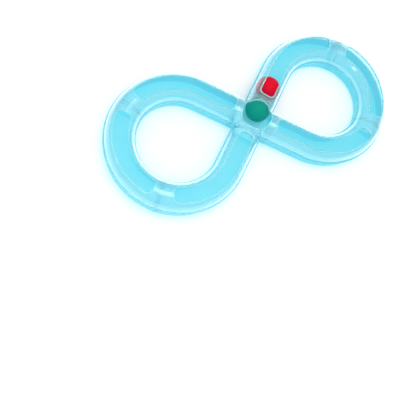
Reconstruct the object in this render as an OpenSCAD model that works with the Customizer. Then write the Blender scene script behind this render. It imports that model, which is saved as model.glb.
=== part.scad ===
// A figure-eight ball track for cats: clip-together trays and covers round a crossing hub, and two rattle
// balls. The origin is the middle of the crossing, at the floor. The long axis lies along X, and Z is up.

/* [Plan] */
// Radius of each loop, at the middle of the channel
loop_r = 90; // [80:1:120]
// Angle between each crossing arm and the long axis
arm_angle = 43; // [40:1:48]
// Angle from each loop's far end to its joints
joint_angle = 53; // [46:1:62]

/* [Channel] */
// Gap between a ball and the channel's walls
ball_play = 1.1; // [0.8:0.1:2]
// Thickness of the walls
wall = 1.8; // [1.5:0.1:2.4]
// Thickness of the floor
floor_t = 2; // [1.6:0.1:3]
// Height of the covers' straight skirt, below their arch
skirt_h = 2; // [1.8:0.1:4]
// Width of the flanges outside the walls
flange_w = 2.2; // [1.6:0.1:3]
// Thickness of each flange
flange_t = 1.6; // [1:0.1:1.8]
// Radius of the trays' bottom edges
foot_r = 4; // [3:0.5:6]

/* [Slots and mouth] */
// Width of the slots
slot_w = 23; // [20:1:30]
// Corner radius of the slots' ends
slot_corner_r = 8; // [4:0.5:10]
// Length of the closed bridges between the slots
bridge_len = 32; // [24:1:38]
// Closed length between a hub joint and its slot
collar_len = 4; // [3.5:0.5:8]
// Diameter of the round mouth over the crossing
mouth_d = 48; // [46:1:52]
// Height of the raised rims
rim_h = 0.9; // [0.5:0.1:1.4]
// Width of the raised rims
rim_w = 2; // [1.2:0.1:2.4]

/* [Joints] */
// Length of the tongues where two modules join
lap_len = 5; // [3:0.5:5]
// Clearance in the joints
lap_gap = 0.2; // [0.1:0.05:0.3]
// Length of each hub arm beyond the corners of the crossing
stub_len = 12; // [8:0.5:16]

/* [Balls] */
// Diameter of the balls
ball_d = 40; // [37:1:43]
// Thickness of the balls' shells
shell_t = 1.4; // [1:0.1:2]
// Running gap under the balls and the bells
rest_gap = 0.3; // [0.2:0.05:0.4]
// Distance of the green ball from the middle of the crossing, along its arm
green_at = 19; // [0:0.5:30]
// Gap between the two balls where they lie
ball_gap = 2.5; // [0.5:0.5:6]
// Diameter of the bells
bell_d = 13; // [10:0.5:16]
// Thickness of the bells' sheet
bell_t = 0.7; // [0.5:0.1:1]
// Width of the bells' slits
slit_w = 1.4; // [1:0.1:2]
// Diameter of the pellets in the bells
pellet_d = 5; // [4:0.5:6]

/* [Hidden] */
$fn = 96;
track_colour = [0.45, 0.87, 0.95];
red = [0.9, 0.04, 0.14];
green = [0.05, 0.6, 0.53];
bell_colour = [0.8, 0.8, 0.78];
// Overrun of every cut
over = 1;
ball_r = ball_d / 2;
// Half widths of the channel, inside and outside its walls
in_half = ball_r + ball_play;
out_half = in_half + wall;
// Heights of the arches' centre line, of the joint between trays and covers, and of the top
arch_z = floor_t + ball_r;
parting_z = arch_z - skirt_h;
top_z = arch_z + out_half + rim_h;
// The inner and outer layers of a wall or floor, where modules join
half_wall = (wall - lap_gap) / 2;
half_floor = (floor_t - lap_gap) / 2;
inner_foot_r = foot_r - wall;
lip_h_share = 0.7;
lip_h = skirt_h * lip_h_share;
lip_w_share = 0.85;
lip_w = half_wall * lip_w_share;
// The plan: where the loops' centres and the arms' ends lie, and how far each module reaches
loop_x = loop_r / sin(arm_angle);
arm_len = loop_r / tan(arm_angle);
side_turn = 90 + arm_angle - joint_angle;
end_turn = 2 * joint_angle;
corner_reach = out_half / tan(90 - arm_angle);
hub_arm = corner_reach + stub_len;
side_start = hub_arm + lap_gap - arm_len;
side_end = length_round(side_turn) - lap_gap;
end_length = length_round(end_turn);
bridge_half = bridge_len / 2;
red_at = green_at + ball_d + ball_gap;
mid_r = ball_r - (shell_t - lap_gap) / 2;
ball_z = floor_t + rest_gap + ball_r;
bell_r = bell_d / 2;
bell_z = ball_z - ball_r + shell_t + rest_gap + bell_r;
pellet_r = pellet_d / 2;
pellet_z = bell_z - bell_r + bell_t + rest_gap + pellet_r;
slit_rise_angle = 20;
slit_half = bell_r * cos(slit_rise_angle);
// Steps along a slot's side and round each of its corners
side_steps = 24;
corner_steps = 6;

// The angle round a loop that a length of track takes, and the length that an angle takes
function turn(length) = length / loop_r * 180 / PI;
function length_round(angle) = angle * PI / 180 * loop_r;

// The plan of a point in a module's own frame. The track comes up Y, straight to zero and then round to the
// left. s is the distance along the middle of the track, and u is across it, to the right.
function on_track(s, u) = s < 0
    ? [u, s]
    : [(loop_r + u) * cos(turn(s)) - loop_r, (loop_r + u) * sin(turn(s))];

// Sweeps a section along X. In a section, X is across the track and Y is up.
module along_arm(from, to) {
    translate([from, 0, 0])
        rotate([90, 0, 90])
            linear_extrude(height = to - from)
                children();
}

// Sweeps a section up Y to zero, in a module's own frame
module up_to_bend(from) {
    rotate([90, 0, 0])
        linear_extrude(height = -from)
            children();
}

// Sweeps a section round the bend of a module's own frame, between two distances
module round_bend(from, to) {
    translate([-loop_r, 0, 0])
        rotate([0, 0, turn(from)])
            rotate_extrude(angle = turn(to - from))
                translate([loop_r, 0])
                    children();
}

// Sweeps a section through the crossing, both ways
module through_hub(reach) {
    for (side = [-1, 1])
        rotate([0, 0, side * arm_angle])
            along_arm(-reach, reach)
                children();
}

// Sweeps a section over a length at the end of each hub arm
module at_hub_ends(from, to) {
    for (side = [-1, 1], flip = [0, 180])
        rotate([0, 0, side * arm_angle + flip])
            along_arm(from, to)
                children();
}

// Puts the lower right side module at the end of its arm
module place_side() {
    rotate([0, 0, -arm_angle])
        translate([arm_len, 0, 0])
            rotate([0, 0, -90])
                children();
}

// Puts the right end module across the loop's far end
module place_end() {
    translate([loop_x, 0, 0])
        rotate([0, 0, -joint_angle])
            translate([loop_r, 0, 0])
                children();
}

// A quarter of a disc, in one corner of its square
module quarter(r, side) {
    intersection() {
        circle(r = r);
        translate([side > 0 ? 0 : -r, -r])
            square(r);
    }
}

// The channel's lower outline, grown by a wall and a floor, up to a height
module trough(grow, grow_floor, top) {
    half = in_half + grow;
    low = floor_t - grow_floor;
    r = inner_foot_r + grow;
    translate([-half, low + r])
        square([2 * half, top - low - r]);
    translate([r - half, low])
        square([2 * (half - r), r]);
    for (side = [-1, 1])
        translate([side * (half - r), low + r])
            quarter(r, side);
}

// The channel's upper outline, grown by a wall, down to a height
module vault(grow, bottom) {
    r = in_half + grow;
    intersection() {
        translate([0, arch_z])
            circle(r = r);
        translate([-r, arch_z])
            square([2 * r, r]);
    }
    translate([-r, bottom])
        square([2 * r, arch_z - bottom]);
}

// A flange right across the track, with rounded edges
module flange(bottom) {
    edge_r = flange_t / 2;
    half = out_half + flange_w - edge_r;
    translate([-half, bottom])
        square([2 * half, flange_t]);
    for (side = [-1, 1])
        translate([side * half, bottom + edge_r])
            intersection() {
                circle(r = edge_r);
                translate([side > 0 ? 0 : -edge_r, -edge_r])
                    square([edge_r, flange_t]);
            }
}

// The lip that stands up from a tray's wall, right across the track
module lip() {
    half = in_half + lip_w;
    translate([-half, parting_z])
        square([2 * half, lip_h]);
}

// What a tray's section encloses, and the space in it
module tray_outside() {
    trough(wall, floor_t, parting_z);
    flange(parting_z - flange_t);
    lip();
}

module tray_space() {
    trough(0, 0, parting_z + lip_h + over);
}

// The outer layer that a tray's tongue goes without
module outside_tray_tongue() {
    difference() {
        section_sheet(-over, parting_z + lip_h + over);
        trough(half_wall, half_floor, parting_z + lip_h + 2 * over);
    }
}

// A sheet wider than the track, between two heights
module section_sheet(bottom, top) {
    half = out_half + flange_w + over;
    translate([-half, bottom])
        square([2 * half, top - bottom]);
}

// The space that a joint's sleeve leaves for the next tray's tongue
module tray_joint_space() {
    trough(half_wall + lap_gap, half_floor + lap_gap, parting_z + lip_h + over);
}

// What a cover's section encloses, and the spaces in it
module cover_outside() {
    vault(wall, parting_z);
    flange(parting_z);
}

module cover_space() {
    vault(0, parting_z - over);
    lip_seat();
}

// The step in a cover's bottom edge that the tray's lip stands in
module lip_seat() {
    half = in_half + lip_w + lap_gap;
    translate([-half, parting_z - over])
        square([2 * half, lip_h + lap_gap + over]);
}

// The outer layer that a cover's tongue goes without
module outside_cover_tongue() {
    difference() {
        section_sheet(parting_z - over, top_z + over);
        vault(half_wall, parting_z - 2 * over);
    }
}

module cover_joint_space() {
    vault(half_wall + lap_gap, parting_z - over);
}

// A band that stands proud of the cover's arch, for the rims
module rim_band() {
    difference() {
        vault(wall + rim_h, arch_z - over);
        vault(half_wall, arch_z - 2 * over);
        translate([-top_z, arch_z - 2 * over])
            square([2 * top_z, 2 * over]);
    }
}

// One rounded corner of a slot, as distances along and across the track
function corner(s, u, ahead, right, r, first) = [
    for (i = [0 : corner_steps])
        let (a = 90 * (first + (1 - 2 * first) * i / corner_steps))
            [s + ahead * r * sin(a), u + right * r * cos(a)]
];

// The outline of a slot between two distances, grown on every side
function slot_outline(from, to, grow) =
    let (half = slot_w / 2 + grow, r = slot_corner_r + grow, back = from - grow + r, front = to + grow - r)
    let (bend = max(back, 0), step = (front - bend) / side_steps)
    concat(
        corner(back, half - r, -1, 1, r, 1),
        [for (i = [0 : side_steps - 1]) [bend + i * step, half]],
        corner(front, half - r, 1, 1, r, 0),
        corner(front, r - half, 1, -1, r, 1),
        [for (i = [side_steps - 1 : -1 : 0]) [bend + i * step, -half]],
        corner(back, r - half, -1, -1, r, 0)
    );

// A slot as a cut from the arch's centre line up, or its rim's ground where it is grown
module slot(from, to, grow) {
    translate([0, 0, arch_z])
        linear_extrude(height = top_z - arch_z + over)
            polygon([for (p = slot_outline(from, to, grow)) on_track(p[0], p[1])]);
}

module hub_tray() {
    color(track_colour)
        difference() {
            through_hub(hub_arm)
                tray_outside();
            through_hub(hub_arm + over)
                tray_space();
            at_hub_ends(hub_arm - lap_len - lap_gap, hub_arm + over)
                tray_joint_space();
        }
}

module hub_cover() {
    color(track_colour)
        difference() {
            union() {
                through_hub(hub_arm)
                    cover_outside();
                mouth_rim();
            }
            through_hub(hub_arm + over)
                cover_space();
            at_hub_ends(hub_arm - lap_len - lap_gap, hub_arm + over)
                cover_joint_space();
            translate([0, 0, arch_z])
                cylinder(d = mouth_d, h = top_z - arch_z + over);
        }
}

// The raised ring round the mouth, which follows the four arches
module mouth_rim() {
    intersection() {
        translate([0, 0, arch_z])
            cylinder(d = mouth_d + 2 * rim_w, h = top_z - arch_z + over);
        through_hub(hub_arm - lap_len)
            vault(wall + rim_h, parting_z);
    }
}

// A side module in its own frame: up the arm and round the bend, with a tongue at each end
module along_side(back, front) {
    up_to_bend(side_start - back)
        children();
    round_bend(0, side_end + front)
        children();
}

// The zones of a side module's two tongues
module side_tongue_zones() {
    translate([0, side_start, 0])
        up_to_bend(-lap_len - over)
            children();
    round_bend(side_end, side_end + lap_len + over)
        children();
}

module side_tray() {
    color(track_colour)
        difference() {
            along_side(lap_len, lap_len)
                difference() {
                    tray_outside();
                    tray_space();
                }
            side_tongue_zones()
                outside_tray_tongue();
        }
}

module side_cover() {
    slot_back = hub_arm + collar_len - arm_len;
    slot_front = side_end - bridge_half;
    color(track_colour)
        difference() {
            union() {
                along_side(lap_len, lap_len)
                    difference() {
                        cover_outside();
                        cover_space();
                    }
                intersection() {
                    along_side(0, 0)
                        rim_band();
                    slot(slot_back, slot_front, rim_w);
                }
            }
            side_tongue_zones()
                outside_cover_tongue();
            slot(slot_back, slot_front, 0);
        }
}

// The zones of an end module's two sleeves
module end_joint_spaces() {
    deep = lap_len + lap_gap;
    round_bend(-over, deep)
        children();
    round_bend(end_length - deep, end_length + over)
        children();
}

module end_tray() {
    color(track_colour)
        difference() {
            round_bend(0, end_length)
                difference() {
                    tray_outside();
                    tray_space();
                }
            end_joint_spaces()
                tray_joint_space();
        }
}

module end_cover() {
    color(track_colour)
        difference() {
            union() {
                round_bend(0, end_length)
                    difference() {
                        cover_outside();
                        cover_space();
                    }
                intersection() {
                    round_bend(0, end_length)
                        rim_band();
                    slot(bridge_half, end_length - bridge_half, rim_w);
                }
            }
            end_joint_spaces()
                cover_joint_space();
            slot(bridge_half, end_length - bridge_half, 0);
        }
}

// Puts a piece of a ball at its place on the upper right arm
module on_arm(distance, height) {
    rotate([0, 0, arm_angle])
        translate([distance, 0, height])
            children();
}

module ball_shell() {
    difference() {
        sphere(r = ball_r);
        sphere(r = ball_r - shell_t);
    }
}

module ball_bottom(distance, paint) {
    lip = shell_t;
    color(paint)
        on_arm(distance, ball_z)
            difference() {
                union() {
                    difference() {
                        sphere(r = ball_r);
                        translate([-ball_d, -ball_d, 0])
                            cube([2 * ball_d, 2 * ball_d, ball_d]);
                    }
                    cylinder(r = mid_r - lap_gap, h = lip);
                }
                sphere(r = ball_r - shell_t);
            }
}

module ball_top(distance, paint) {
    lip = shell_t;
    color(paint)
        on_arm(distance, ball_z)
            difference() {
                ball_shell();
                translate([-ball_d, -ball_d, -ball_d])
                    cube([2 * ball_d, 2 * ball_d, ball_d]);
                translate([0, 0, -over])
                    cylinder(r = mid_r, h = lip + lap_gap + over);
            }
}

// A jingle bell: a round shell with two crossed slits below and a girdle where its halves fold together
module bell_shell(distance) {
    color(bell_colour)
        on_arm(distance, bell_z)
            difference() {
                union() {
                    sphere(r = bell_r);
                    translate([0, 0, -bell_t / 2])
                        cylinder(r = bell_r + bell_t, h = bell_t);
                }
                sphere(r = bell_r - bell_t);
                for (side = [0, 90])
                    rotate([0, 0, side])
                        translate([-slit_half, -slit_w / 2, -bell_d])
                            cube([2 * slit_half, slit_w, bell_d - bell_r * sin(slit_rise_angle)]);
            }
}

module bell_pellet(distance) {
    color(bell_colour)
        on_arm(distance, pellet_z)
            sphere(r = pellet_r);
}

hub_tray();
hub_cover();
mirror([0, 1, 0]) place_side() side_tray();  // right_upper_tray
mirror([0, 1, 0]) place_side() side_cover();  // right_upper_cover
place_side() side_tray();  // right_lower_tray
place_side() side_cover();  // right_lower_cover
place_end() end_tray();  // right_end_tray
place_end() end_cover();  // right_end_cover
rotate([0, 0, 180]) place_side() side_tray();  // left_upper_tray
rotate([0, 0, 180]) place_side() side_cover();  // left_upper_cover
mirror([1, 0, 0]) place_side() side_tray();  // left_lower_tray
mirror([1, 0, 0]) place_side() side_cover();  // left_lower_cover
rotate([0, 0, 180]) place_end() end_tray();  // left_end_tray
rotate([0, 0, 180]) place_end() end_cover();  // left_end_cover
ball_top(red_at, red);  // red_ball_top
ball_bottom(red_at, red);  // red_ball_bottom
bell_shell(red_at);  // red_bell_shell
bell_pellet(red_at);  // red_bell_pellet
ball_top(green_at, green);  // green_ball_top
ball_bottom(green_at, green);  // green_ball_bottom
bell_shell(green_at);  // green_bell_shell
bell_pellet(green_at);  // green_bell_pellet
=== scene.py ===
import math
import bmesh
import bpy
from mathutils import Matrix, Vector


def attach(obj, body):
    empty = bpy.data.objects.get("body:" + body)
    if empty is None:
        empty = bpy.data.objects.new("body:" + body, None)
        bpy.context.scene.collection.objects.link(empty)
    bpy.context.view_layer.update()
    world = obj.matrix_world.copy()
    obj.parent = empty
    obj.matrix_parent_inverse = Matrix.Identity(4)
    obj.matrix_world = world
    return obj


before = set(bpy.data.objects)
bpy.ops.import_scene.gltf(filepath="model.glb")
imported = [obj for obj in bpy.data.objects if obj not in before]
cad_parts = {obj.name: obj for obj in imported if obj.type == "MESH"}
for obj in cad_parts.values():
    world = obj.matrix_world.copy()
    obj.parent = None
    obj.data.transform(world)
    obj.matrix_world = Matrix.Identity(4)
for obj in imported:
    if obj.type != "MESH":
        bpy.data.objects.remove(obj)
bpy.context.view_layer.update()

# The photograph's camera: its aim on the floor, distance, turn round the object, height, roll and lens
AIM = Vector((-0.12549, -0.09416, 0.0))
CAMERA_DISTANCE = 0.8496
CAMERA_AZIMUTH = math.radians(-64.155)
CAMERA_ELEVATION = math.radians(71.763)
CAMERA_ROLL = math.radians(44.28)
IMAGE_WIDTH = 400
FOCAL_PIXELS = 542.8
SENSOR_WIDTH = 36.0
NEAREST_SEEN = 0.01
FARTHEST_SEEN = 50.0

# The part's own sizes, in metres: its plan, the arch over the channel and the rims' outer surface
LOOP_R = 0.090
ARM_ANGLE = math.radians(43.0)
JOINT_ANGLE = math.radians(53.0)
ARCH_Z = 0.022
RIM_R = 0.0238
TOP_Z = ARCH_Z + RIM_R
LOOP_X = LOOP_R / math.sin(ARM_ANGLE)
ARM_LENGTH = LOOP_R / math.tan(ARM_ANGLE)

# A rim's middle line: how far it is from its slot's middle, its corner radius, where it starts and ends
# along a side module and along an end module, and its radius round the mouth
RIM_HALF = 0.0125
RIM_CORNER = 0.009
SIDE_RIM = (-0.060158, 0.110458)
END_RIM = (0.015, 0.151504)
MOUTH_RIM_R = 0.025

# A bead's section, half its width and its height over the rim, and the steps that a bead is made in
BEAD_HALF = 0.0012
BEAD_RISE = 0.0005
CORNER_STEPS = 8
SIDE_STEPS = 40
MOUTH_STEPS = 120
SECTION_STEPS = 12

# Noise scales, in cells a metre, and the range that most of a noise lies in
DRIFT_SCALE = 22.0
GLOSS_SCALE = 90.0
GRAIN_SCALE = 1600.0
TARNISH_SCALE = 400.0
BRUSHING_SCALE = 2500.0
NOISE_LOW = 0.3
NOISE_HIGH = 0.7

# How deep the grain of plastic and the brushing of metal are, in metres, and how strong the brushing shows
GRAIN_DEPTH = 0.0002
BRUSHING_DEPTH = 0.0001
BRUSHING_STRENGTH = 0.1

# What doesn't vary over the clear covers, the frosted trays, the beads and the balls. Clear faces that touch,
# as a cover's flange and a tray's do, render black if both refract, so only the covers refract, and the trays
# and beads are see-through by their alpha.
CLEAR = {"Transmission Weight": 0.93, "IOR": 1.3, "Coat Weight": 0.9, "Coat Roughness": 0.1}
FROSTED = {"Alpha": 0.7, "IOR": 1.45, "Specular IOR Level": 1.0}
EDGE = {"Alpha": 0.3, "IOR": 1.45}
SATIN = {"Specular IOR Level": 0.06, "IOR": 1.5}

# The floor's size and colour, and the white that it adds: for the camera, growing between two distances from
# the middle, and for what is seen through glass or in gloss
WHITE = (1.0, 1.0, 1.0, 1.0)
FLOOR_SIZE = 12.0
FLOOR_COLOUR = (0.9, 0.9, 0.9, 1.0)
NEAR_DISTANCE = 0.4
FAR_DISTANCE = 1.4
ADDED_NEAR = 0.16
ADDED_FAR = 0.34
ADDED_BEYOND = 0.95

# The world's light, the strength at which it is seen as white, and each lamp's place, size and power
WORLD_LIGHT = 0.78
SEEN_WHITE = 1.0
KEY_LAMP = ((0.06, 0.03, 1.4), (0.7, 0.7), 4.4)
FRONT_LAMP = ((-0.85, -0.41, 1.15), (0.2, 0.5), 1.7)


class Graph:
    """The nodes of a material or of the world, made one call at a time."""

    def __init__(self, owner, output):
        owner.use_nodes = True
        self.owner = owner
        self.nodes = owner.node_tree.nodes
        self.links = owner.node_tree.links
        self.nodes.clear()
        self.output = self.nodes.new(output)

    def add(self, kind, inputs, **settings):
        """A node whose inputs are linked, where they are sockets, or else set."""
        node = self.nodes.new("ShaderNode" + kind)
        for key, value in settings.items():
            setattr(node, key, value)
        for key, value in inputs.items():
            socket = node.inputs[key]
            if isinstance(value, bpy.types.NodeSocket):
                self.links.new(value, socket)
            else:
                socket.default_value = value
        return node

    def place(self):
        """The place on the object, in metres."""
        return self.add("TexCoord", {}).outputs["Object"]

    def noise(self, scale, detail, roughness=0.5):
        inputs = {"Vector": self.place(), "Scale": scale, "Detail": detail, "Roughness": roughness}
        return self.add("TexNoise", inputs).outputs["Fac"]

    def ramp(self, value, start, end, low, high):
        """A number that runs from low to high as the value goes from start to end."""
        inputs = {"Value": value, "From Min": start, "From Max": end, "To Min": low, "To Max": high}
        return self.add("MapRange", inputs).outputs["Result"]

    def calculate(self, operation, first, second):
        return self.add("Math", {0: first, 1: second}, operation=operation).outputs[0]

    def mix(self, factor, colours):
        """A colour between two, which go into the node's sockets 6 and 7 and come out of 2."""
        first, second = colours
        return self.add("Mix", {0: factor, 6: (*first, 1.0), 7: (*second, 1.0)}, data_type="RGBA").outputs[2]

    def finish(self, shader):
        self.links.new(shader, self.output.inputs["Surface"])
        return self.owner


def new_material(name):
    return Graph(bpy.data.materials.new(name), "ShaderNodeOutputMaterial")


def lit_through(g, shader, tint):
    """Clear plastic: what it shuts in is lit through it, with a tint at each face."""
    path = g.add("LightPath", {}).outputs
    lighting = g.calculate("MAXIMUM", path["Is Shadow Ray"], path["Is Diffuse Ray"])
    passed = g.add("BsdfTransparent", {"Color": (*tint, 1.0)}).outputs[0]
    return g.add("MixShader", {0: lighting, 1: shader, 2: passed}).outputs[0]


def moulded_plastic(name, colours, rough, grain, constants, tint=None):
    """Moulded plastic: faint colour drift, uneven gloss and a fine grain. A tint lets light through it."""
    g = new_material(name)
    drift = g.noise(DRIFT_SCALE, detail=3.0)
    gloss = g.noise(GLOSS_SCALE, detail=4.0, roughness=0.6)
    fine = g.noise(GRAIN_SCALE, detail=2.0, roughness=0.6)
    bump = g.add("Bump", {"Height": fine, "Strength": grain, "Distance": GRAIN_DEPTH})
    shader = g.add("BsdfPrincipled", {
        "Base Color": g.mix(drift, colours),
        "Roughness": g.ramp(gloss, NOISE_LOW, NOISE_HIGH, *rough),
        "Normal": bump.outputs["Normal"],
        **constants,
    }).outputs["BSDF"]
    return g.finish(lit_through(g, shader, tint) if tint else shader)


def plated_sheet(name, colours, rough):
    """Thin plated metal with fine brushing."""
    g = new_material(name)
    tarnish = g.noise(TARNISH_SCALE, detail=3.0)
    fine = g.noise(BRUSHING_SCALE, detail=2.0)
    bump = g.add("Bump", {"Height": fine, "Strength": BRUSHING_STRENGTH, "Distance": BRUSHING_DEPTH})
    shader = g.add("BsdfPrincipled", {
        "Base Color": g.mix(tarnish, colours),
        "Roughness": g.ramp(tarnish, NOISE_LOW, NOISE_HIGH, *rough),
        "Normal": bump.outputs["Normal"],
        "Metallic": 1.0,
    })
    return g.finish(shader.outputs["BSDF"])


def floor_paper(name):
    """White paper that is lit plainly, but adds white where the camera, glass or gloss sees it.

    For the camera it adds little by the object, so that the shadow shows, and more where the lamps don't
    reach.
    """
    g = new_material(name)
    path = g.add("LightPath", {}).outputs
    distance = g.add("VectorMath", {0: g.place()}, operation="LENGTH").outputs["Value"]
    added = g.ramp(distance, NEAR_DISTANCE, FAR_DISTANCE, ADDED_NEAR, ADDED_FAR)
    direct = g.calculate("MULTIPLY", path["Is Camera Ray"], added)
    beyond = g.calculate("MAXIMUM", path["Is Transmission Ray"], path["Is Glossy Ray"])
    beyond = g.calculate("MULTIPLY", beyond, ADDED_BEYOND)
    glow = g.add("Emission", {"Color": WHITE, "Strength": g.calculate("MAXIMUM", direct, beyond)})
    paper = g.add("BsdfDiffuse", {"Color": FLOOR_COLOUR})
    return g.finish(g.add("AddShader", {0: paper.outputs[0], 1: glow.outputs[0]}).outputs[0])


def use(obj, material):
    obj.data.materials.clear()
    obj.data.materials.append(material)


def dress_nodes():
    """The materials of the model's own nodes."""
    # The covers and the trays are one cyan plastic, whose tint is real. Its two copies are painted light and
    # shade: the covers' paler copy paints the light that their milky faces scatter, and the trays' deeper
    # copy below paints the shade inside the channel.
    cover_plastic = moulded_plastic(
        "cover_plastic",
        colours=((0.585, 0.878, 0.925), (0.645, 0.89, 0.93)),
        rough=(0.18, 0.24),
        grain=0.02,
        constants=CLEAR,
        tint=(0.9, 0.97, 0.985),
    )
    # Painted shade: the trays' deeper cyan stands for the shade inside the channel, on top of the plastic's
    # real tint.
    tray_plastic = moulded_plastic(
        "tray_plastic",
        colours=((0.13, 0.785, 0.93), (0.17, 0.815, 0.95)),
        rough=(0.42, 0.5),
        grain=0.03,
        constants=FROSTED,
        tint=(0.5, 0.92, 0.98),
    )
    red_plastic = moulded_plastic(
        "red_plastic",
        colours=((0.74, 0.002, 0.02), (0.80, 0.004, 0.03)),
        rough=(0.4, 0.5),
        grain=0.1,
        constants=SATIN,
    )
    green_plastic = moulded_plastic(
        "green_plastic",
        colours=((0.003, 0.29, 0.22), (0.006, 0.34, 0.26)),
        rough=(0.4, 0.5),
        grain=0.1,
        constants=SATIN,
    )
    bell_metal = plated_sheet(
        "bell_metal",
        colours=((0.78, 0.77, 0.74), (0.66, 0.65, 0.62)),
        rough=(0.25, 0.4),
    )
    for name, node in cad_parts.items():
        if name.endswith("_cover"):
            use(node, cover_plastic)
        elif name.endswith("_tray"):
            use(node, tray_plastic)
        elif name.startswith("red_ball_"):
            use(node, red_plastic)
        elif name.startswith("green_ball_"):
            use(node, green_plastic)
        elif "_bell_" in name:
            use(node, bell_metal)


def on_track(s, u):
    """A place s along a module's channel and u to the right of its middle, and the way to the right there."""
    if s < 0.0:
        return Vector((u, s, 0.0)), Vector((1.0, 0.0, 0.0))
    turn = s / LOOP_R
    right = Vector((math.cos(turn), math.sin(turn), 0.0))
    return right * (LOOP_R + u) - Vector((LOOP_R, 0.0, 0.0)), right


def corner(s, u, first):
    """A quarter turn of a rim's middle line round s and u, from its first angle in degrees."""
    angles = [math.radians(first + 90 * i / CORNER_STEPS) for i in range(CORNER_STEPS + 1)]
    return [(s + RIM_CORNER * math.sin(a), u + RIM_CORNER * math.cos(a)) for a in angles]


def slot_places(start, end):
    """The rim's middle line round a slot, as distances along and across a module's channel."""
    back = start + RIM_CORNER
    front = end - RIM_CORNER
    inset = RIM_HALF - RIM_CORNER
    steps = range(1, SIDE_STEPS)
    right_side = [(back + (front - back) * i / SIDE_STEPS, RIM_HALF) for i in steps]
    left_side = [(front - (front - back) * i / SIDE_STEPS, -RIM_HALF) for i in steps]
    front_end = corner(front, inset, 0) + corner(front, -inset, 90)
    return corner(back, inset, -90) + right_side + front_end + left_side + corner(back, -inset, 180)


def raised(place, right, u):
    """A place raised to the rims' surface, u to the right of its arch's middle, and the way outward there."""
    out = (right * u + Vector((0.0, 0.0, math.sqrt(RIM_R ** 2 - u ** 2)))) / RIM_R
    place.z = ARCH_Z + out.z * RIM_R
    return place, out


def slot_line(start, end):
    """Points along a slot's rim, each with the way outward."""
    line = []
    for s, u in slot_places(start, end):
        place, right = on_track(s, u)
        line.append(raised(place, right, u))
    return line


def mouth_line():
    """Points along the mouth's rim, on whichever arch stands higher there, each with the way outward."""
    sideways = [Vector((-math.sin(side * ARM_ANGLE), math.cos(side * ARM_ANGLE), 0.0)) for side in (-1, 1)]
    line = []
    for i in range(MOUTH_STEPS):
        angle = 2.0 * math.pi * i / MOUTH_STEPS
        place = Vector((math.cos(angle), math.sin(angle), 0.0)) * MOUTH_RIM_R
        right = min(sideways, key=lambda way: abs(place.dot(way)))
        line.append(raised(place, right, place.dot(right)))
    return line


def make_bead(name, line, placing, material):
    """A rounded bead along a closed line, half sunk in the rim, and no higher than the part."""
    line = [(placing @ place, (placing.to_3x3() @ out).normalized()) for place, out in line]
    bm = bmesh.new()
    rings = []
    for i, (place, out) in enumerate(line):
        along = (line[(i + 1) % len(line)][0] - line[i - 1][0]).normalized()
        across = along.cross(out).normalized()
        ring = []
        for k in range(SECTION_STEPS):
            a = 2.0 * math.pi * k / SECTION_STEPS
            point = place + across * (BEAD_HALF * math.cos(a)) + out * (BEAD_RISE * math.sin(a))
            point.z = min(point.z, TOP_Z)
            ring.append(bm.verts.new(point))
        rings.append(ring)
    for i, ring in enumerate(rings):
        other = rings[(i + 1) % len(rings)]
        for k in range(SECTION_STEPS):
            m = (k + 1) % SECTION_STEPS
            bm.faces.new((ring[k], ring[m], other[m], other[k])).smooth = True
    bmesh.ops.recalc_face_normals(bm, faces=bm.faces)
    mesh = bpy.data.meshes.new(name)
    bm.to_mesh(mesh)
    bm.free()
    bead = bpy.data.objects.new(name, mesh)
    bpy.context.scene.collection.objects.link(bead)
    use(bead, material)
    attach(bead, "track")


def make_beads():
    """The rounded beads of the six slots and of the mouth."""
    plastic = moulded_plastic(
        "bead_plastic",
        colours=((0.35, 0.93, 0.98), (0.40, 0.96, 0.99)),
        rough=(0.15, 0.22),
        grain=0.02,
        constants=EDGE,
        tint=(0.84, 0.97, 0.99),
    )
    turn = Matrix.Rotation
    shift = Matrix.Translation
    side = turn(-ARM_ANGLE, 4, "Z") @ shift((ARM_LENGTH, 0.0, 0.0)) @ turn(-math.pi / 2, 4, "Z")
    end = shift((LOOP_X, 0.0, 0.0)) @ turn(-JOINT_ANGLE, 4, "Z") @ shift((LOOP_R, 0.0, 0.0))
    flip_x = Matrix.Diagonal((-1.0, 1.0, 1.0, 1.0))
    flip_y = Matrix.Diagonal((1.0, -1.0, 1.0, 1.0))
    half_turn = turn(math.pi, 4, "Z")
    side_line = slot_line(*SIDE_RIM)
    end_line = slot_line(*END_RIM)
    make_bead("right_lower_slot_bead", side_line, side, plastic)
    make_bead("right_upper_slot_bead", side_line, flip_y @ side, plastic)
    make_bead("left_upper_slot_bead", side_line, half_turn @ side, plastic)
    make_bead("left_lower_slot_bead", side_line, flip_x @ side, plastic)
    make_bead("right_end_slot_bead", end_line, end, plastic)
    make_bead("left_end_slot_bead", end_line, half_turn @ end, plastic)
    make_bead("mouth_bead", mouth_line(), Matrix.Identity(4), plastic)


def make_floor():
    bpy.ops.mesh.primitive_plane_add(size=FLOOR_SIZE, location=(0.0, 0.0, 0.0))
    floor = bpy.context.object
    floor.name = "floor"
    use(floor, floor_paper("floor_paper"))


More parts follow.
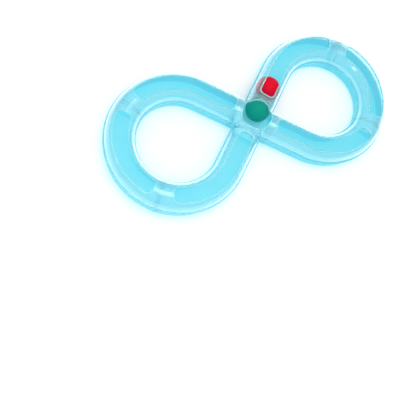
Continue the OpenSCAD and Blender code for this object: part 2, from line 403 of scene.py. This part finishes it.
def make_world():
    """A plain light all round, which the camera and glass see as white."""
    g = Graph(bpy.data.worlds.new("studio"), "ShaderNodeOutputWorld")
    path = g.add("LightPath", {}).outputs
    seen = g.calculate("MAXIMUM", path["Is Camera Ray"], path["Is Transmission Ray"])
    plain = g.add("Background", {"Color": WHITE, "Strength": WORLD_LIGHT}).outputs[0]
    white = g.add("Background", {"Color": WHITE, "Strength": SEEN_WHITE}).outputs[0]
    bpy.context.scene.world = g.finish(g.add("MixShader", {0: seen, 1: plain, 2: white}).outputs[0])


def make_lamp(name, place, size, power):
    """A soft lamp that faces the middle of the object."""
    data = bpy.data.lights.new(name, "AREA")
    data.shape = "RECTANGLE"
    data.size, data.size_y = size
    data.energy = power
    lamp = bpy.data.objects.new(name, data)
    lamp.location = place
    lamp.rotation_euler = (-Vector(place)).to_track_quat("-Z", "Y").to_euler()
    bpy.context.scene.collection.objects.link(lamp)


def make_camera():
    az = CAMERA_AZIMUTH
    el = CAMERA_ELEVATION
    back = Vector((math.sin(az) * math.cos(el), -math.cos(az) * math.cos(el), math.sin(el)))
    side = Vector((math.cos(az), math.sin(az), 0.0))
    up = back.cross(side)
    right = side * math.cos(CAMERA_ROLL) + up * math.sin(CAMERA_ROLL)
    above = up * math.cos(CAMERA_ROLL) - side * math.sin(CAMERA_ROLL)
    data = bpy.data.cameras.new("camera")
    data.sensor_width = SENSOR_WIDTH
    data.lens = FOCAL_PIXELS / IMAGE_WIDTH * SENSOR_WIDTH
    data.clip_start = NEAREST_SEEN
    data.clip_end = FARTHEST_SEEN
    camera = bpy.data.objects.new("camera", data)
    turn = Matrix((right, above, back)).transposed().to_4x4()
    camera.matrix_world = Matrix.Translation(AIM + back * CAMERA_DISTANCE) @ turn
    bpy.context.scene.collection.objects.link(camera)
    bpy.context.scene.camera = camera


dress_nodes()
make_beads()
make_floor()
make_world()
make_lamp("key", *KEY_LAMP)
make_lamp("front", *FRONT_LAMP)
make_camera()
bpy.context.scene.view_settings.view_transform = "Standard"
